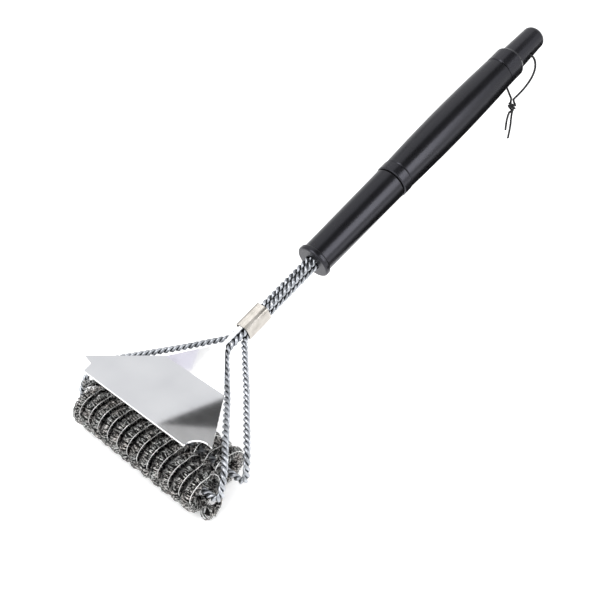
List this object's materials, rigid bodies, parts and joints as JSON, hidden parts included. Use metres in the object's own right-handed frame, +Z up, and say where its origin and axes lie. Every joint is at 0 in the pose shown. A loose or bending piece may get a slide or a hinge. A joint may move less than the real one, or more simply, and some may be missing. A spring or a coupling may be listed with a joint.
{
  "type": "grill cleaning brush",
  "caption": "Long-handled grill brush with coiled wire-mesh rolls on bent wire ropes, a notched plate scraper, a crimped ferrule and a hanging cord.",
  "frame": {"origin": "on the floor under the middle of the outline, with the rolls standing flat on the floor", "axes": "+X along the rolls to the right wing of the scraper, +Y from the rolls to the handle's end, +Z up"},
  "size_m": [0.14, 0.4066, 0.1829],
  "materials": {
    "grip_plastic": "satin moulded black plastic",
    "wire_rope": "bright twisted stainless wire",
    "ferrule_steel": "bright pressed stainless sleeve",
    "scraper_steel": "polished stainless plate",
    "coil_wire": "bright spring wire",
    "mesh_steel": "fine curled stainless wire",
    "cord_fabric": "thin black braided cord"
  },
  "bodies": {
    "root": {"lower_grip": "grip_plastic", "middle_ring": "grip_plastic", "upper_grip": "grip_plastic", "collar_ring": "grip_plastic", "end_cap": "grip_plastic", "ferrule": "ferrule_steel", "scraper": "scraper_steel", "front_left_arm": "wire_rope", "front_right_arm": "wire_rope", "rear_left_arm": "wire_rope", "rear_right_arm": "wire_rope", "front_axle": "wire_rope", "rear_axle": "wire_rope", "front_coil_wire": "coil_wire", "rear_coil_wire": "coil_wire", "front_mesh_sleeve": "mesh_steel", "rear_mesh_sleeve": "mesh_steel", "cord_loop": "cord_fabric", "cord_knot": "cord_fabric", "cord_tail_short": "cord_fabric", "cord_tail_long": "cord_fabric"}
  },
  "joints": []
}
